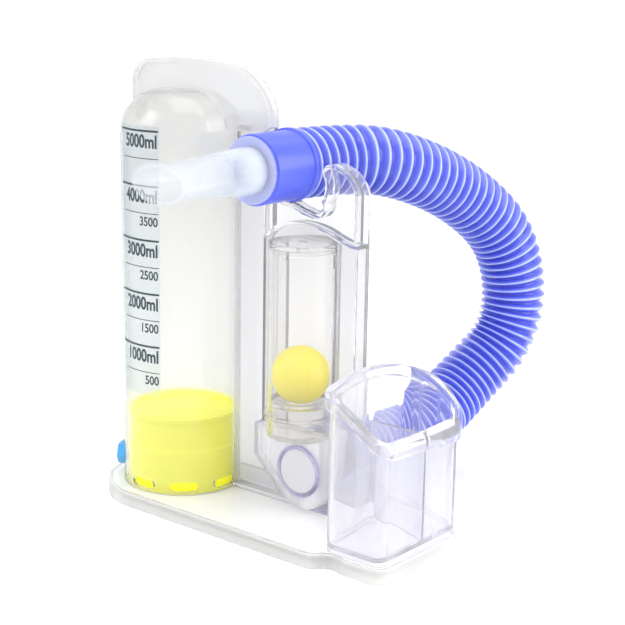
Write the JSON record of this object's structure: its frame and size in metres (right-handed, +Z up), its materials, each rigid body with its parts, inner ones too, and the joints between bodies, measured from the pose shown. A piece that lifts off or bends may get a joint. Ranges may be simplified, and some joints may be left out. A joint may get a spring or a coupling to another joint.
{
  "type": "incentive spirometer",
  "caption": "Clear desk-top incentive spirometer: volume cylinder with yellow piston, flow ball tube, goal pointer, mouthpiece bay and a corrugated blue hose.",
  "frame": {"origin": "on the floor, under the middle of the base's length and width", "axes": "+X from the volume cylinder towards the mouthpiece bay, -Y towards the side with the scale, +Z up"},
  "size_m": [0.1924, 0.2484, 0.2215],
  "materials": {
    "clear_plastic": "clear moulded plastic, glossy",
    "clear_base": "clear moulded plastic, greyish at its edge",
    "white_deck": "white moulded plastic",
    "printed_film": "clear film with dark printed marks",
    "yellow_piston": "thin translucent yellow plastic",
    "yellow_ball": "smooth yellow plastic",
    "blue_pointer": "bright blue plastic",
    "blue_cuff": "smooth soft blue-violet plastic",
    "blue_hose": "translucent blue-violet corrugated plastic",
    "frosted_white": "milky translucent plastic",
    "filter_foam": "light grey filter pad"
  },
  "bodies": {
    "housing": {"base_skirt": "clear_base", "base_deck": "white_deck", "volume_chamber": "clear_plastic", "scale_label": "printed_film", "handle_arch": "clear_plastic", "rear_casing": "clear_plastic", "rear_cover": "clear_plastic", "ball_tube": "clear_plastic", "ball_seat": "clear_plastic", "ball_stop": "clear_plastic", "front_manifold": "clear_plastic", "inlet_ring": "clear_plastic", "inlet_filter": "filter_foam", "hose_port": "clear_plastic", "mouthpiece_bay": "clear_plastic", "lower_cuff": "blue_cuff", "breathing_hose": "blue_hose", "upper_cuff": "blue_cuff"},
    "piston": {"volume_piston": "yellow_piston"},
    "ball": {"flow_ball": "yellow_ball"},
    "pointer": {"goal_pointer": "blue_pointer"},
    "mouthpiece": {"mouthpiece": "frosted_white"}
  },
  "joints": [
    {"name": "piston_rise", "type": "slide", "parent": "housing", "child": "piston", "axis": [0, 0, 1], "range_m": [0, 0.136]},
    {"name": "ball_rise", "type": "slide", "parent": "housing", "child": "ball", "axis": [0, 0, 1], "range_m": [0, 0.0475]},
    {"name": "goal_pointer_slide", "type": "slide", "parent": "housing", "child": "pointer", "axis": [0, 0, 1], "range_m": [0, 0.155]},
    {"name": "mouthpiece_pull", "type": "slide", "parent": "housing", "child": "mouthpiece", "axis": [0, -1, 0], "range_m": [0, 0.04]}
  ]
}
